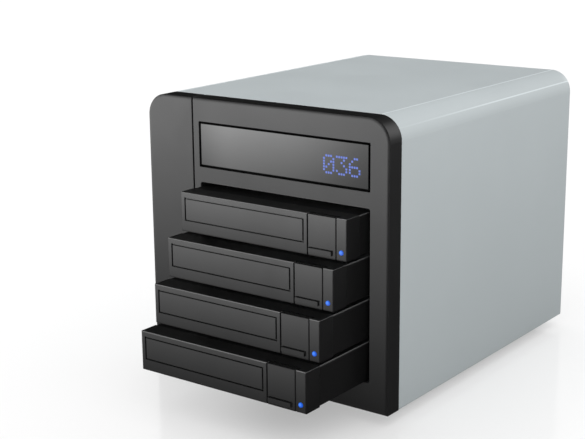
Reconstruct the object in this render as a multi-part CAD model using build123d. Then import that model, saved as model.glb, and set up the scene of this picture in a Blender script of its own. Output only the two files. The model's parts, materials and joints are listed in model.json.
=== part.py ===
from build123d import *
import os

# Four-bay desktop network attached storage unit with hot-swap drive trays.
# Frame: +X to the right seen from the front, +Y into the case, +Z up, millimetres.
# The feet stand on Z = 0. The bezel face is modelled at Y = 0; save() then centres the
# whole unit on Y. The trays stand part way out, in a cascade; each slides along Y.

os.makedirs("parts", exist_ok=True)

# ---------------------------------------------------------------- driving dimensions
CASE_W = 216.0            # width over the cover
CASE_H = 210.4            # height of the case without its feet
CASE_D = 277.0            # bezel face to the cover's rear edge
FOOT_H = 8.6
CORNER_R = 17.0           # top corners only, the bottom corners are square
SHEET = 1.2               # cover, pan and cage sheet
BOTTOM = FOOT_H
TOP = FOOT_H + CASE_H
HALF_W = CASE_W / 2

BEZEL_D = 14.8
BEZEL_T = 3.0
BEZEL_EDGE_R = 5.0        # soft edge all round the bezel's face
BEZEL_EDGE_W = 2.2        # width of that band, it ends in a small corner radius
COVER_Y0 = BEZEL_D + 0.2
SPLIT_X, SPLIT_GAP = -64.4, 1.2           # shadow line between side strip and bezel
GAP_X0, GAP_X1 = SPLIT_X - SPLIT_GAP / 2, SPLIT_X + SPLIT_GAP / 2
BAY_X0, BAY_X1 = -57.7, 92.4              # drive bay opening
BAY_Z0, BAY_Z1 = BOTTOM + 21.6, BOTTOM + 147.4
WIN_X0, WIN_X1 = -58.4, 92.5              # display window opening
WIN_Z0, WIN_Z1 = BOTTOM + 159.1, BOTTOM + 193.1
WIN_GAP = 1.3

TRAY_X0, TRAY_W, TRAY_H = -56.3, 146.4, 29.4
TRAY_PITCH = 31.15
TRAY_Z0 = BOTTOM + 21.9                   # underside of the lowest tray front
TRAY_BASES = [TRAY_Z0 + k * TRAY_PITCH for k in range(4)]    # bottom to top
TRAY_OUT = [24.6, 40.35, 56.1, 71.8]      # how far each tray stands out, top to bottom
TUB_LEFT, TUB_RIGHT = 0.2, TRAY_W - 0.2   # the tub's sides, from the tray's left edge
TUB_X0, TUB_X1 = TRAY_X0 + TUB_LEFT, TRAY_X0 + TUB_RIGHT
TUB_Z = 0.9                               # underside of the tub
LIP_OUT = 2.2                             # how far the flap's pull lip stands proud

PAN_Z = BOTTOM + SHEET + 0.2
PAN_TOP = PAN_Z + SHEET
PAN_HALF_W = HALF_W - SHEET - 0.4
FEET = [(-77.0, 42.0), (77.0, 42.0), (-77.0, 244.0), (77.0, 244.0)]      # x, y
BOTTOM_SCREWS = [(side * 103.4, y) for side in (-1, 1) for y in (50, 240)]

REAR_Y0, REAR_T = 275.0, 1.2              # rear panel
REAR_FACE = REAR_Y0 + REAR_T
REAR_SCREWS = [(-102.0, 40), (-102.0, 168), (102.0, 40), (102.0, 168),   # x, z
               (-50, TOP - 5.4), (50, TOP - 5.4)]

FAN, FAN_T, FAN_PITCH = 92.0, 25.0, 82.5
FAN_X, FAN_Z = 17.0, BOTTOM + 84.0
FAN_Y0 = REAR_Y0 - FAN_T
FAN_HOLES = [(FAN_X + sx * FAN_PITCH / 2, FAN_Z + sz * FAN_PITCH / 2)
             for sx in (-1, 1) for sz in (-1, 1)]
GUARD_Y = REAR_FACE + 1.0                 # fan guard's wire plane
FAN_SCREW_Y = GUARD_Y + 0.95              # underside of the fan screw heads
FAN_SCREW_HEAD_H = 1.8

BOARD_X0 = -100.4
BOARD_FACE = BOARD_X0 + 1.6               # component side of the main board
STANDOFFS = [(108, 28), (108, 142), (262, 28), (262, 142)]               # y, z
PORTS = [                                 # kind, z0, z1, depth from the board
    ("lan", BOTTOM + 30, BOTTOM + 46, 13.6),
    ("lan", BOTTOM + 50, BOTTOM + 66, 13.6),
    ("usb", BOTTOM + 71, BOTTOM + 85.2, 15.4),
    ("esata", BOTTOM + 90, BOTTOM + 105.0, 5.2),
]
BUTTON_X, BUTTON_Z, BUTTON_R = -88.0, BOTTOM + 122.0, 4.5

PSU_X0, PSU_X1 = 8.0, 89.5
PSU_Y0, PSU_Y1 = 125.0, REAR_Y0
PSU_Z0, PSU_Z1 = BOTTOM + 155.6, BOTTOM + 196.1

Y_SHIFT = -((-max(TRAY_OUT) - LIP_OUT) + (FAN_SCREW_Y + FAN_SCREW_HEAD_H)) / 2


# ---------------------------------------------------------------- helpers
def box(x0, x1, y0, y1, z0, z1):
    """Box between two corners; the x values may come in either order."""
    return Pos((x0 + x1) / 2, (y0 + y1) / 2, (z0 + z1) / 2) * Box(abs(x1 - x0), y1 - y0, z1 - z0)


def cyl_x(y, z, x0, x1, r):
    return Pos((x0 + x1) / 2, y, z) * Rot(0, 90, 0) * Cylinder(r, x1 - x0)


def cyl_y(x, z, y0, y1, r):
    return Pos(x, (y0 + y1) / 2, z) * Rot(90, 0, 0) * Cylinder(r, y1 - y0)


def cyl_z(x, y, z0, z1, r):
    return Pos(x, y, (z0 + z1) / 2) * Cylinder(r, z1 - z0)


def torus_y(x, y, z, r, wire_r):
    return Pos(x, y, z) * Rot(90, 0, 0) * Torus(r, wire_r)


def fillet_where(shape, test, r):
    return fillet([e for e in shape.edges() if test(e)], r)


def fillet_along(shape, axis, r):
    return fillet(shape.edges().filter_by(axis), r)


def case_arch(inset, y0, y1, open_bottom=False):
    """The case outline moved inwards by inset, with its two top edges along Y rounded."""
    half, top = HALF_W - inset, TOP - inset
    block = box(-half, half, y0, y1, BOTTOM - 5 if open_bottom else BOTTOM + inset, top)
    upper = [e for e in block.edges().filter_by(Axis.Y) if abs(e.center().Z - top) < 1e-6]
    return fillet(upper, CORNER_R - inset)


def on_y(e, y, tol=1e-4):
    bounds = e.bounding_box()
    return abs(bounds.min.Y - y) < tol and abs(bounds.max.Y - y) < tol


def on_x(e, x, tol=1e-4):
    bounds = e.bounding_box()
    return abs(bounds.min.X - x) < tol and abs(bounds.max.X - x) < tol


def inside(e, x0, x1, z0, z1, tol=1e-3):
    low, high = e.bounding_box().min, e.bounding_box().max
    return low.X > x0 - tol and high.X < x1 + tol and low.Z > z0 - tol and high.Z < z1 + tol


def save(name, shape):
    export_step(Pos(0, Y_SHIFT, 0) * shape, f"parts/{name}.step")


# ---------------------------------------------------------------- cover, pan, feet, rear panel
CREASE_X, CREASE_R, CREASE_H = 91.4, 0.5, 0.1
FLANGE_W = 9.0            # inner edge of the cover's flanges, from its outside


def outer_cover():
    cover = case_arch(0, COVER_Y0, CASE_D)
    cover -= case_arch(SHEET, 0, CASE_D + 10, open_bottom=True)
    for side in (-1, 1):                                  # bottom return flanges
        cover += box(side * (HALF_W - 0.4), side * (HALF_W - FLANGE_W),
                     24, CASE_D - 4, BOTTOM, BOTTOM + SHEET)
    cover = fillet_where(cover, lambda e: (
        e.geom_type == GeomType.LINE and abs(abs(e.center().X) - HALF_W) < 1e-4
        and abs(e.center().Z - BOTTOM) < 1e-4 and e.length > 50), 0.9)
    rim = case_arch(0.6, 273.4, REAR_Y0)
    rim -= case_arch(FLANGE_W, 270, 280, open_bottom=True)
    cover += rim                                          # flange in front of the rear panel
    for side in (-1, 1):                                  # crease where the top meets its bend
        cover += cyl_y(side * CREASE_X, TOP + CREASE_H - CREASE_R, COVER_Y0, CASE_D, CREASE_R)
    for x, z in REAR_SCREWS:
        cover -= cyl_y(x, z, 270, 276, 1.35)
    for x, y in BOTTOM_SCREWS:
        cover -= cyl_z(x, y, BOTTOM - 1, BOTTOM + 3, 1.6)
    return cover


def base_pan():
    """Pan with two low side walls and a tall left wall that carries the main board."""
    cut = (PAN_Z - 1, PAN_Z + 3)
    wall_face = -PAN_HALF_W + SHEET
    pan = box(-PAN_HALF_W, PAN_HALF_W, 16.4, REAR_Y0 - 1.9, PAN_Z, PAN_TOP)
    for side in (1, -1):
        pan += box(side * (PAN_HALF_W - SHEET), side * PAN_HALF_W, 26, 270, PAN_Z, PAN_Z + 14)
    pan += box(-PAN_HALF_W, wall_face, 90, 268, PAN_Z, 156)
    for i in range(7):                                    # intake slots
        y = 60 + i * 26
        for x in (-44, 54):
            pan -= box(x, x + 24, y, y + 10, *cut)
    for y, z in STANDOFFS:
        pan += cyl_x(y, z, wall_face - 0.2, BOARD_X0, 2.6)
        pan -= cyl_x(y, z, wall_face + 0.4, BOARD_X0 + 1, 1.25)
    for x, y in FEET:
        pan -= cyl_z(x, y, *cut, 2.6)
    for x, y in BOTTOM_SCREWS:
        pan -= cyl_z(x, y, *cut, 1.3)
    return pan


def rubber_foot(x, y):
    """Foot with its push-in stem and the flange that fills the gap up to the pan."""
    stem_r = 2.5
    foot = cyl_z(x, y, 0, BOTTOM + 0.1, 9.0)
    foot = fillet_where(
        foot, lambda e: abs(e.center().Z) < 1e-6 and e.geom_type == GeomType.CIRCLE, 1.4)
    foot += cyl_z(x, y, BOTTOM, BOTTOM + 1.4, stem_r)
    foot += cyl_z(x, y, BOTTOM + 0.6, PAN_TOP + 0.25, stem_r)
    foot += Pos(x, y, PAN_TOP + 1.2) * Cone(3.3, 1.6, 2.0)
    return foot + cyl_z(x, y, BOTTOM, PAN_Z, 8.2)


def rubber_feet():
    return Compound([rubber_foot(x, y) for x, y in FEET])


def rear_panel():
    cut = (270, 280)
    gap = 0.3                                             # round each port
    rear = case_arch(SHEET + 0.3, REAR_Y0, REAR_FACE)
    rear -= cyl_y(FAN_X, FAN_Z, *cut, 44.5)
    for x, z in FAN_HOLES:
        rear -= cyl_y(x, z, *cut, 2.2)
    for x, z in REAR_SCREWS:
        rear -= cyl_y(x, z, *cut, 1.7)
    rear -= box(PSU_X0 + 2.5, PSU_X1 - 2.5, *cut, PSU_Z0 + 2.5, PSU_Z1 - 2.5)
    for _, z0, z1, depth in PORTS:
        rear -= box(BOARD_FACE - gap, BOARD_FACE + depth + gap, *cut, z0 - gap, z1 + gap)
    rear -= cyl_y(BUTTON_X, BUTTON_Z, *cut, BUTTON_R + 0.35)
    for i in range(9):                                    # exhaust slots beside the supply
        z = BOTTOM + 158 + i * 4.0
        for x0, x1 in ((-88, -52), (-46, -4)):
            rear -= box(x0, x1, *cut, z, z + 2.0)
    return rear


# ---------------------------------------------------------------- bezel, split at the shadow line
WALL = 2.4                # bezel's side walls
RIB_Z0, RIB_Z1 = BOTTOM + 95, BOTTOM + 97


def bezel_blank():
    # A larger block is rounded, then trimmed to the case so that only a band of the round is left
    over = BEZEL_EDGE_R - BEZEL_EDGE_W
    blank = case_arch(-over, 0, BEZEL_D)
    blank = fillet_where(blank, lambda e: on_y(e, 0.0), BEZEL_EDGE_R)
    blank = blank & case_arch(0, -1, BEZEL_D)
    blank = fillet_where(blank, lambda e: (
        0.1 < e.bounding_box().min.Y and e.bounding_box().max.Y < 2.0), 0.35)
    return blank - case_arch(WALL, BEZEL_T, BEZEL_D + 5)


def soften_split_edge(part, x):
    return fillet_where(part, lambda e: (
        on_x(e, x) and e.bounding_box().min.Z > BOTTOM + BEZEL_EDGE_W - 0.3
        and e.bounding_box().max.Y < 0.01), 0.25)


def add_snap_tabs(part, side):
    """Tabs that reach back into the cover."""
    for z in (BOTTOM + 40, BOTTOM + 150):
        part += box(side * 103.2, side * 104.8, BEZEL_T - 0.3, 24, z, z + 12)
    return part


def bezel_side_strip():
    strip = bezel_blank() - box(GAP_X0, 300, -5, 60, -5, 300)
    strip = soften_split_edge(strip, GAP_X0)
    strip = add_snap_tabs(strip, -1)
    strip += box(-106.0, GAP_X0, BEZEL_T - 0.3, BEZEL_D - 1.5, RIB_Z0, RIB_Z1)
    return strip


def front_bezel():
    bezel = bezel_blank() - box(-300, GAP_X1, -5, 60, -5, 300)
    bezel = soften_split_edge(bezel, GAP_X1)
    # backing flange behind the shadow line, notched round the strip's rib
    back = BEZEL_T + 1.75
    bezel += (box(GAP_X0 - 4.0, GAP_X1 + 3.0, BEZEL_T + 0.25, back, BOTTOM + 2.9, TOP - 2.9)
              - box(-106, GAP_X0 + 3, 0, 9, RIB_Z0 - 1, RIB_Z1 + 1))
    bezel += box(GAP_X1 + 0.4, GAP_X1 + 3.0, BEZEL_T - 0.4, back, BOTTOM + 2.2, TOP - 2.2)
    # each opening: x0 x1 z0 z1, rear end of its sleeve, corner radius, front edge radius
    for x0, x1, z0, z1, sleeve_y1, corner_r, edge_r in (
        (BAY_X0, BAY_X1, BAY_Z0, BAY_Z1, BEZEL_D - 0.2, 1.6, 0.5),
        (WIN_X0, WIN_X1, WIN_Z0, WIN_Z1, BEZEL_D - 4, 0.7, 0.25),
    ):
        bezel += box(x0 - 2, x1 + 2, BEZEL_T - 0.4, sleeve_y1, z0 - 2, z1 + 2)
        bezel -= fillet_along(box(x0, x1, -5, 30, z0, z1), Axis.Y, corner_r)
        bezel = fillet_where(bezel, lambda e: on_y(e, 0.0) and inside(e, x0, x1, z0, z1), edge_r)
    ledge_w = 3.6                                         # ledge behind the window
    ledge = box(WIN_X0 - 0.5, WIN_X1 + 0.5, 2.5, 3.9, WIN_Z0 - 0.5, WIN_Z1 + 0.5)
    ledge -= box(WIN_X0 + ledge_w, WIN_X1 - ledge_w, 0, 9, WIN_Z0 + ledge_w, WIN_Z1 - ledge_w)
    bezel += ledge
    bezel = add_snap_tabs(bezel, 1)
    bezel += box(96, 106.0, BEZEL_T - 0.3, BEZEL_D - 1.5, RIB_Z0, RIB_Z1)
    return bezel


def display_window():
    face = 0.25
    pane = box(WIN_X0 + WIN_GAP, WIN_X1 - WIN_GAP, face, 2.5, WIN_Z0 + WIN_GAP, WIN_Z1 - WIN_GAP)
    return fillet_where(pane, lambda e: on_y(e, face), 0.45)


def display_module():
    mid_z = (WIN_Z0 + WIN_Z1) / 2
    blocks = [                                            # x0, x1, y0, y1, half height
        (-52, 86, 7.2, 8.8, 11.5),                        # board
        (40, 86, 3.0, 5.4, 9.5),                          # glass
        (38.5, 87.0, 5.4, 7.2, 10.5),                     # frame
        (-20, -6, 8.8, 10.2, 6),                          # chip
        (-45, -31, 8.8, 13.0, 3),                         # plug
    ]
    return Compound([box(*xy, mid_z - half, mid_z + half) for *xy, half in blocks])


# ---------------------------------------------------------------- drive cage and backplane
CAGE_X0, CAGE_X1 = TUB_X0 - 2.2, TUB_X1 + 2.2
CAGE_Y0, CAGE_Y1, CAGE_TOP = 16.2, 176.0, BOTTOM + 149.8
CAGE_IN0, CAGE_IN1 = CAGE_X0 + SHEET, CAGE_X1 - SHEET     # inner faces of the walls
BACKPLANE_Y = 173.0
SOCKET_X0, SOCKET_X1 = 1.6, 40.4


def drive_cage():
    depth = (CAGE_Y0, CAGE_Y1)
    foot = (CAGE_Y0 + 30, CAGE_Y1 - 10, PAN_TOP, PAN_TOP + SHEET)
    cage = box(CAGE_X0, CAGE_IN0, *depth, PAN_TOP, CAGE_TOP)
    cage += box(CAGE_IN1, CAGE_X1, *depth, PAN_TOP, CAGE_TOP)
    cage += box(CAGE_X0, CAGE_X1, *depth, CAGE_TOP - SHEET, CAGE_TOP)
    cage += box(CAGE_X0 - 9, CAGE_X0 + 0.2, *foot)
    cage += box(CAGE_X1 - 0.2, CAGE_X1 + 9, *foot)
    for base in TRAY_BASES:                               # air slots in both walls
        for j in range(5):
            y = 34 + j * 27
            cage -= box(CAGE_X0 - 3, CAGE_X1 + 3, y, y + 17, base + 12, base + 18)
    return cage


def guide_rails():
    """L-shaped rails, one on each cage wall under every tray."""
    rails = []
    for base in TRAY_BASES:
        for wall, tub_edge, inward in ((CAGE_IN0, TUB_X0, 1), (CAGE_IN1, TUB_X1, -1)):
            rail = box(wall, tub_edge + inward * 2.6, 17.0, 170.0, base - 1.1, base + TUB_Z - 0.1)
            rail += box(wall, wall + inward * 0.7, 17.0, 170.0, base - 1.1, base + 8)
            rails.append(rail)
    return Compound(rails)


def backplane_board():
    board = box(CAGE_IN0 + 0.2, CAGE_IN1 - 0.2, BACKPLANE_Y, BACKPLANE_Y + 1.6,
                BOTTOM + 18, CAGE_TOP - SHEET - 0.4)
    for base in TRAY_BASES:
        for x0, x1 in ((-48, -4), (46, 82)):              # openings beside the socket
            board -= box(x0, x1, BACKPLANE_Y - 2, BACKPLANE_Y + 5, base + 6, base + 22)
    return board


def backplane_sockets():
    sockets = []
    for base in TRAY_BASES:
        socket = box(SOCKET_X0, SOCKET_X1, 160.8, BACKPLANE_Y, base + 4.3, base + 10.1)
        socket -= box(SOCKET_X0 + 0.7, SOCKET_X1 - 0.7, 160.0, 167.2, base + 6.2, base + 8.0)
        sockets.append(socket)
    return Compound(sockets)


# ---------------------------------------------------------------- main board, ports, button
SINK_Z0, SINK_Z1 = BOTTOM + 72, BOTTOM + 116


def main_board():
    board = box(BOARD_X0, BOARD_FACE, 100, 272, BOTTOM + 12, BOTTOM + 140)
    for y, z in STANDOFFS:
        board -= cyl_x(y, z, BOARD_X0 - 1, BOARD_FACE + 1, 1.7)
    blocks = [                # x0, x1 from the board's face; y0, y1; z0, z1 from the case bottom
        (0, 2.0, 180, 212, 78, 110),                      # processor
        (0, 4.6, 112, 124, 40, 112),                      # memory socket
        (4.6, 26, 117.2, 118.4, 43, 109),                 # memory module
        (0, 1.4, 150, 166, 40, 56),                       # controller chip
        (0, 9.0, 140, 146, 88, 128),                      # header
    ]
    parts = [box(BOARD_FACE + x0, BOARD_FACE + x1, y0, y1, BOTTOM + z0, BOTTOM + z1)
             for x0, x1, y0, y1, z0, z1 in blocks]
    cell = cyl_x(230, BOTTOM + 112, BOARD_FACE, BOARD_FACE + 5, 9.8)
    # switch housing, open towards the rear push button
    switch = box(BOARD_FACE, BUTTON_X + 8, 252, 271.5, BUTTON_Z - 7.5, BUTTON_Z + 7.5)
    switch = fillet([e for e in switch.edges().filter_by(Axis.Z) if e.center().X > BUTTON_X], 1.0)
    switch -= cyl_y(BUTTON_X, BUTTON_Z, 260.5, 273, BUTTON_R + 2.2)
    capacitors = [cyl_x(y, BOTTOM + 124, BOARD_FACE, BOARD_FACE + 9.5, 3.4)
                  for y in (184, 195, 206)]
    return Compound([board, *parts, cell, switch, *capacitors])


def cpu_heatsink():
    sink = box(BOARD_FACE + 2.0, BOARD_FACE + 5.0, 174, 218, SINK_Z0, SINK_Z1)
    for i in range(9):                                    # fins
        y = 174 + i * 5.3
        sink += box(BOARD_FACE + 4.8, BOARD_FACE + 22, y, y + 1.5, SINK_Z0, SINK_Z1)
    return sink


def rear_port(kind, z0, z1, depth):
    y0, y1 = 255.5, REAR_FACE + 0.5
    port = box(BOARD_FACE, BOARD_FACE + depth, y0, y1, z0, z1)

    def cavity(x0, x1, inset):
        return box(BOARD_FACE + x0, BOARD_FACE + x1, y0 + 6, y1 + 1, z0 + inset, z1 - inset)

    def tongue(x0, x1, short, inset):
        return box(BOARD_FACE + x0, BOARD_FACE + x1, y0 + 5, y1 - short, z0 + inset, z1 - inset)

    if kind == "lan":
        port -= cavity(1.6, 8.6, 2.1)
        port -= cavity(8.0, 11.6, 4.9)                    # latch notch
    elif kind == "usb":
        for x in (1.1, 8.9):
            port -= cavity(x, x + 5.1, 0.9)
            port += tongue(x + 0.6, x + 2.4, 1.2, 1.6)
    else:
        port -= cavity(0.8, depth - 0.8, 1.2)
        port += tongue(2.1, 3.1, 1.5, 2.2)
    return port


def rear_ports():
    return Compound([rear_port(*row) for row in PORTS])


def power_button():
    face = 277.6
    button = cyl_y(BUTTON_X, BUTTON_Z, 264, face, BUTTON_R)
    button = fillet_where(button, lambda e: on_y(e, face), 0.5)
    return button + cyl_y(BUTTON_X, BUTTON_Z, 263, 264.5, BUTTON_R + 1.6)


# ---------------------------------------------------------------- power supply, inlet, rocker
MOD_X0, MOD_X1 = PSU_X0 + 5.0, PSU_X0 + 55.0              # inlet module's flange
MOD_Z0, MOD_Z1 = PSU_Z0 + 8.0, PSU_Z0 + 32.5
MOD_MID_Z = (MOD_Z0 + MOD_Z1) / 2
SOCKET_MID_X = MOD_X0 + 15.5
ROCKER_X0, ROCKER_X1 = MOD_X0 + 33.5, MOD_X0 + 46.5       # rocker opening
ROCKER_Y = PSU_Y1 + 1.4


def power_supply():
    wall = 1.0
    rear_cut = (PSU_Y1 - 4, PSU_Y1 + 2)
    psu = fillet_along(box(PSU_X0, PSU_X1, PSU_Y0, PSU_Y1, PSU_Z0, PSU_Z1), Axis.Y, 1.0)
    psu -= box(PSU_X0 + wall, PSU_X1 - wall, PSU_Y0 + wall, PSU_Y1 - wall,
               PSU_Z0 + wall, PSU_Z1 - wall)
    # cable exit
    psu -= box(PSU_X0 + 30, PSU_X0 + 52, PSU_Y0 - 2, PSU_Y0 + 3, PSU_Z0 + 8, PSU_Z0 + 26)
    psu -= box(MOD_X0 + 1.6, MOD_X1 - 1.6, *rear_cut, MOD_Z0 + 1.6, MOD_Z1 - 1.6)
    for i in range(5):                                    # rear slots
        x = PSU_X0 + 59.5 + i * 3.8
        psu -= box(x, x + 2.0, *rear_cut, PSU_Z0 + 6, PSU_Z1 - 6)
    for i in range(8):                                    # top slots
        y = PSU_Y0 + 16 + i * 14
        psu -= box(PSU_X0 + 12, PSU_X1 - 12, y, y + 4, PSU_Z1 - 3, PSU_Z1 + 2)
    return psu


def power_inlet():
    inlet = fillet_along(box(MOD_X0, MOD_X1, PSU_Y1, PSU_Y1 + 2.4, MOD_Z0, MOD_Z1), Axis.Y, 1.5)
    inlet += box(MOD_X0 + 1.9, MOD_X1 - 1.9, PSU_Y1 - 18, PSU_Y1 + 0.5, MOD_Z0 + 1.9, MOD_Z1 - 1.9)
    socket = box(SOCKET_MID_X - 12, SOCKET_MID_X + 12, PSU_Y1 - 14, PSU_Y1 + 5,
                 MOD_MID_Z - 8, MOD_MID_Z + 8)
    upper = [e for e in socket.edges().filter_by(Axis.Y) if e.center().Z > MOD_MID_Z]
    inlet -= chamfer(upper, 4.0)
    inlet -= box(ROCKER_X0, ROCKER_X1, PSU_Y1 - 8, PSU_Y1 + 5, MOD_MID_Z - 10, MOD_MID_Z + 10)
    pins = []
    for dx, dz in ((-7, -1.5), (7, -1.5), (0, 3.0)):
        x, z = SOCKET_MID_X + dx, MOD_MID_Z + dz
        pins.append(box(x - 1.0, x + 1.0, PSU_Y1 - 14, PSU_Y1 - 1.5, z - 2.0, z + 2.0))
    # moulded-in rocker axle
    inlet += cyl_x(ROCKER_Y, MOD_MID_Z, ROCKER_X0 - 0.5, ROCKER_X1 + 0.5, 0.85)
    return Compound([inlet] + pins)


def power_rocker():
    # Profile drawn as (Z, Y) about the axle, then turned so that the extrusion runs along X
    tip_y = 2.6
    outline = Polyline((-9.1, tip_y), (0, 1.2), (9.1, tip_y), (9.1, -1.8), (3.0, -4.6),
                       (-3.0, -4.6), (-9.1, -1.8), (-9.1, tip_y))
    profile = make_face(Plane.XY * outline)
    rocker = extrude(profile, amount=(ROCKER_X1 - ROCKER_X0 - 1.0) / 2, both=True)
    rocker = Rot(0, -90, 0) * rocker
    rocker = fillet_where(rocker, lambda e: (
        e.geom_type == GeomType.LINE and abs(e.center().Y - tip_y) < 1e-6), 0.5)
    rocker -= cyl_x(0, 0, -20, 20, 0.9)
    return Pos((ROCKER_X0 + ROCKER_X1) / 2, ROCKER_Y, MOD_MID_Z) * Rot(7, 0, 0) * rocker


# ---------------------------------------------------------------- rear fan
N_BLADES = 7
HUB_Y0 = FAN_Y0 + 2.0


def fan_cyl(y0, y1, r):
    return cyl_y(FAN_X, FAN_Z, y0, y1, r)


def fan_turn(angle):
    return Pos(FAN_X, 0, FAN_Z) * Rot(0, angle, 0)


def fan_frame():
    half = FAN / 2
    frame = box(FAN_X - half, FAN_X + half, FAN_Y0, REAR_Y0, FAN_Z - half, FAN_Z + half)
    frame = fillet_along(frame, Axis.Y, 5.0)
    frame -= fan_cyl(FAN_Y0 - 1, REAR_Y0 + 1, 44.4)
    for angle in (20, 110, 200, 290):                     # arms to the motor plate
        frame += fan_turn(angle) * box(-2.0, 2.0, REAR_Y0 - 4.2, REAR_Y0 - 0.4, 12, 45)
    frame += fan_cyl(REAR_Y0 - 4.4, REAR_Y0 - 0.4, 19.5)
    frame += fan_cyl(FAN_Y0 + 6, REAR_Y0 - 4.0, 4.0)
    frame -= fan_cyl(FAN_Y0 + 5, REAR_Y0 - 1.6, 1.55)     # shaft bore
    for x, z in FAN_HOLES:
        frame -= cyl_y(x, z, FAN_Y0 - 1, REAR_Y0 + 1, 2.15)
    return frame


def fan_rotor():
    rotor = fan_cyl(HUB_Y0, REAR_Y0 - 5.2, 18.6)
    rotor = fillet_where(rotor, lambda e: on_y(e, HUB_Y0), 1.5)
    rotor -= fan_cyl(FAN_Y0 + 4.0, REAR_Y0, 17.2)
    rotor += fan_cyl(FAN_Y0 + 3.0, REAR_Y0 - 2.4, 1.5)    # shaft
    # the blades are trimmed to this ring
    swept = fan_cyl(FAN_Y0 + 2.4, REAR_Y0 - 5.6, 43.2) - fan_cyl(FAN_Y0, REAR_Y0, 17.8)
    for i in range(N_BLADES):
        blade = Pos(0, (FAN_Y0 + REAR_Y0) / 2 - 1.6, 31) * Rot(0, 0, 38) * Box(30, 1.5, 32)
        blade = fan_turn(i * 360 / N_BLADES) * blade
        rotor += blade & swept
    return rotor


def fan_guard():
    wire_r = 0.9                                          # spokes and screw eyes
    first, *others = [torus_y(FAN_X, GUARD_Y + 1.0, FAN_Z, r, 0.8) for r in (12, 21, 30, 39, 46)]
    guard = first
    for hoop in others:
        guard += hoop
    for angle in (45, 135):
        spoke = Pos(FAN_X, GUARD_Y, FAN_Z) * Rot(0, angle, 0) * Cylinder(wire_r, 2 * 54.9)
        guard += spoke
    for x, z in FAN_HOLES:
        guard += torus_y(x, GUARD_Y, z, 3.4, wire_r)
    return guard


# ---------------------------------------------------------------- screws
HEAD_REAR, HEAD_DOWN = Rot(-90, 0, 0), Rot(180, 0, 0)


def pan_screw(x, y, z, turn, head_r, head_h, shank_r, length, cross=True):
    """Pan screw with its head's underside at the point; turn moves the head from +Z."""
    screw = Pos(0, 0, head_h / 2) * Cylinder(head_r, head_h)
    screw = fillet_where(screw, lambda e: (
        e.geom_type == GeomType.CIRCLE and abs(e.center().Z - head_h) < 1e-6),
        min(0.45, head_h * 0.4))
    screw += Pos(0, 0, -length / 2 + 0.05) * Cylinder(shank_r, length + 0.1)
    if cross:
        long, short, deep = head_r * 1.15, head_r * 0.28, head_h * 0.55
        screw -= Pos(0, 0, head_h) * Box(long, short, 2 * deep)
        screw -= Pos(0, 0, head_h) * Box(short, long, 2 * deep)
    return Pos(x, y, z) * turn * screw


def case_screws():
    rear = [pan_screw(x, REAR_FACE, z, HEAD_REAR, 3.0, 1.7, 1.3, 5.0) for x, z in REAR_SCREWS]
    under = [pan_screw(x, y, BOTTOM, HEAD_DOWN, 2.8, 1.0, 1.25, 3.6) for x, y in BOTTOM_SCREWS]
    return Compound(rear + under)


def fan_screws():
    return Compound([pan_screw(x, FAN_SCREW_Y, z, HEAD_REAR, 3.9, FAN_SCREW_HEAD_H, 1.95, 10.0)
                     for x, z in FAN_HOLES])


# ---------------------------------------------------------------- tray pieces
# Tray frame: x from the front's left edge, y from its face, z from its underside.
FRONT_D, TRAY_LEN = 15.5, 168.0
LID_Z = 29.2                              # top of the lid
WALL_TOP = LID_Z - 0.8                    # top of the tub's walls
FLAP_X0, FLAP_X1 = 114.45, 137.5          # eject flap
FLAP_GAP_L, FLAP_GAP_R = 0.9, 0.7
PIVOT_Y, PIVOT_Z, BARREL_R, PIN_R = 1.9, 27.5, 1.9, 0.75
PIN_X0, PIN_X1 = FLAP_X0 - 4.2, FLAP_X1 + 3.6
LED_X, LED_Z, LED_R = 142.1, 5.8, 1.75
LABEL_X0, LABEL_X1, LABEL_Z0, LABEL_Z1 = 3.4, 110.8, 8.3, 25.6           # label pocket
LABEL_D, LABEL_GAP = 1.6, 0.95
DRIVE_W, DRIVE_L, DRIVE_H = 101.6, 147.0, 26.1
DRIVE_X0, DRIVE_Y0 = 5.9, 19.0
DRIVE_X1, DRIVE_Y1 = DRIVE_X0 + DRIVE_W, DRIVE_Y0 + DRIVE_L
DRIVE_MID = DRIVE_X0 + DRIVE_W / 2
# bottom screw pattern of a 3.5 inch drive
SCREW_DX, SCREW_Y1, SCREW_DY = 47.625, 41.28, 44.45
DRIVE_HOLES = [(DRIVE_MID + side * SCREW_DX, DRIVE_Y1 - SCREW_Y1 - j * SCREW_DY)
               for side in (-1, 1) for j in (0, 1)]


def tray_front():
    body = box(0, TRAY_W, 0, FRONT_D, 0, TRAY_H)
    body = fillet_where(body, lambda e: on_y(e, 0.0), 0.7)
    # hollows open to the rear: left of the flap, behind it, right of it
    for x0, x1, y0 in ((1.6, 111.4, 3.0), (111.0, 139.8, 7.0), (139.4, TRAY_W - 1.6, 2.6)):
        body -= box(x0, x1, y0, FRONT_D + 1, 1.5, TRAY_H - 1.5)
    # flap recess, open to the front, top and bottom
    recess = (FLAP_X0 - FLAP_GAP_L, FLAP_X1 + FLAP_GAP_R, -1)
    body -= box(*recess, 5.2, -1, PIVOT_Z - 2.6)
    body -= box(*recess, PIVOT_Y + BARREL_R + 0.3, PIVOT_Z - 2.7, TRAY_H + 1)
    body -= box(119.0, 132.0, 4, 9, 7.5, 15.1)            # window for the hook arm
    body -= box(LABEL_X0, LABEL_X1, -1, LABEL_D, LABEL_Z0, LABEL_Z1)
    body = fillet_where(body, lambda e: (
        on_y(e, 0.0) and inside(e, LABEL_X0, LABEL_X1, LABEL_Z0, LABEL_Z1)), 0.2)
    # light pipe hole and hinge pin bores
    body -= cyl_y(LED_X, LED_Z, -1, 6, LED_R + 0.06)
    body -= cyl_x(PIVOT_Y, PIVOT_Z, PIN_X0 - 0.05, PIN_X1 + 0.05, PIN_R + 0.02)
    return body


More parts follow.
